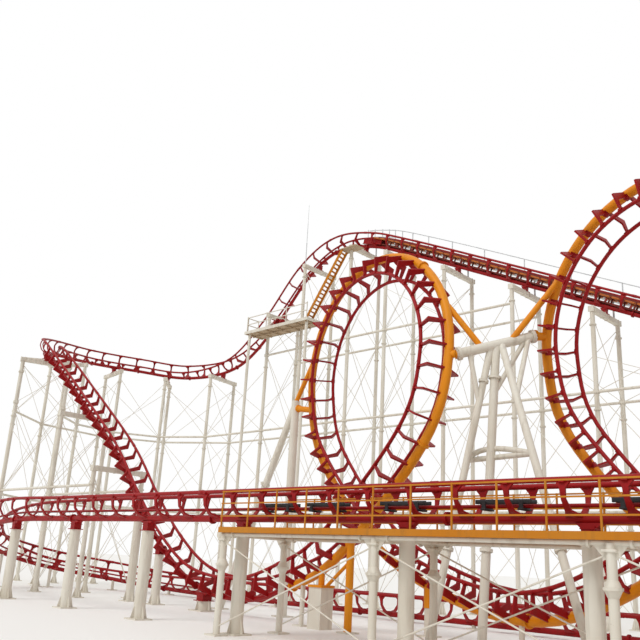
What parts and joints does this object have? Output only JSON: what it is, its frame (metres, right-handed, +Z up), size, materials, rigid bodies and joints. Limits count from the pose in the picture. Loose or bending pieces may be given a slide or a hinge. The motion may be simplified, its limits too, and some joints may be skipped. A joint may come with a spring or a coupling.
{
  "type": "half-scale looping roller coaster",
  "caption": "Closed circuit of tubular coaster track on columns, with a chain lift, high turn, vertical loops, a brake run with a walkway, and turning chain wheels.",
  "frame": {"origin": "on the ground under the foot of the centre leg that stands between the loops", "axes": "+X along the straights towards the foot of the lift, +Z up"},
  "size_m": [37.7878, 11.3581, 12.9754],
  "materials": {
    "beige_paint": "matt paint",
    "brown_paint": "matt paint",
    "galvanised": "zinc grey",
    "oiled_steel": "dark oiled",
    "orange_paint": "satin paint",
    "red_paint": "gloss paint",
    "white_paint": "weathered paint",
    "yellow_paint": "gloss paint"
  },
  "bodies": {
    "structure": {"station_rails": "red_paint", "station_spine": "red_paint", "station_ties": "red_paint", "lift_rails": "red_paint", "lift_spine": "red_paint", "lift_ties": "red_paint", "first_drop_rails": "red_paint", "first_drop_spine": "red_paint", "first_drop_ties": "red_paint", "high_turn_rails": "red_paint", "high_turn_spine": "red_paint", "high_turn_ties": "red_paint", "second_drop_rails": "red_paint", "second_drop_spine": "red_paint", "second_drop_ties": "red_paint", "loop_one_rails": "red_paint", "loop_one_spine": "yellow_paint", "loop_one_ties": "red_paint", "loop_two_rails": "red_paint", "loop_two_spine": "yellow_paint", "loop_two_ties": "red_paint", "return_turn_rails": "red_paint", "return_turn_spine": "red_paint", "return_turn_ties": "red_paint", "brake_run_rails": "red_paint", "brake_run_spine": "red_paint", "brake_run_ties": "red_paint", "low_turn_rails": "red_paint", "low_turn_spine": "red_paint", "low_turn_ties": "red_paint", "track_brackets": "red_paint", "base_plates": "white_paint", "single_columns": "white_paint", "lift_columns": "white_paint", "crest_columns": "white_paint", "turn_columns": "white_paint", "valley_posts": "yellow_paint", "portal_beams": "white_paint", "portal_struts": "white_paint", "loop_uprights": "white_paint", "tower_tube": "white_paint", "loop_braces": "white_paint", "loop_struts": "yellow_paint", "walkway_deck": "orange_paint", "walkway_handrail": "orange_paint", "walkway_beams": "white_paint", "walkway_frame": "white_paint", "motor_platform": "beige_paint", "platform_railing": "white_paint", "drive_motor": "red_paint", "crest_stair": "orange_paint", "lightning_rod": "galvanised", "lift_trough": "brown_paint", "lift_chain": "oiled_steel", "wheel_bearings": "red_paint", "lift_walkway": "galvanised", "lift_railing": "galvanised"},
    "head_wheel": {"head_wheel": "oiled_steel"},
    "tail_wheel": {"tail_wheel": "oiled_steel"}
  },
  "joints": [
    {"name": "head_wheel_spin", "type": "hinge", "parent": "structure", "child": "head_wheel", "pos_m": [-8.80964, 7.55, 11.1898], "axis": [0, 1, 0], "continuous": true},
    {"name": "tail_wheel_spin", "type": "hinge", "parent": "structure", "child": "tail_wheel", "pos_m": [12.2978, 7.55, 1.26244], "axis": [0, 1, 0], "continuous": true}
  ],
  "couplings": [
    {"joint": "tail_wheel_spin", "follows": "head_wheel_spin", "ratio": 1}
  ]
}
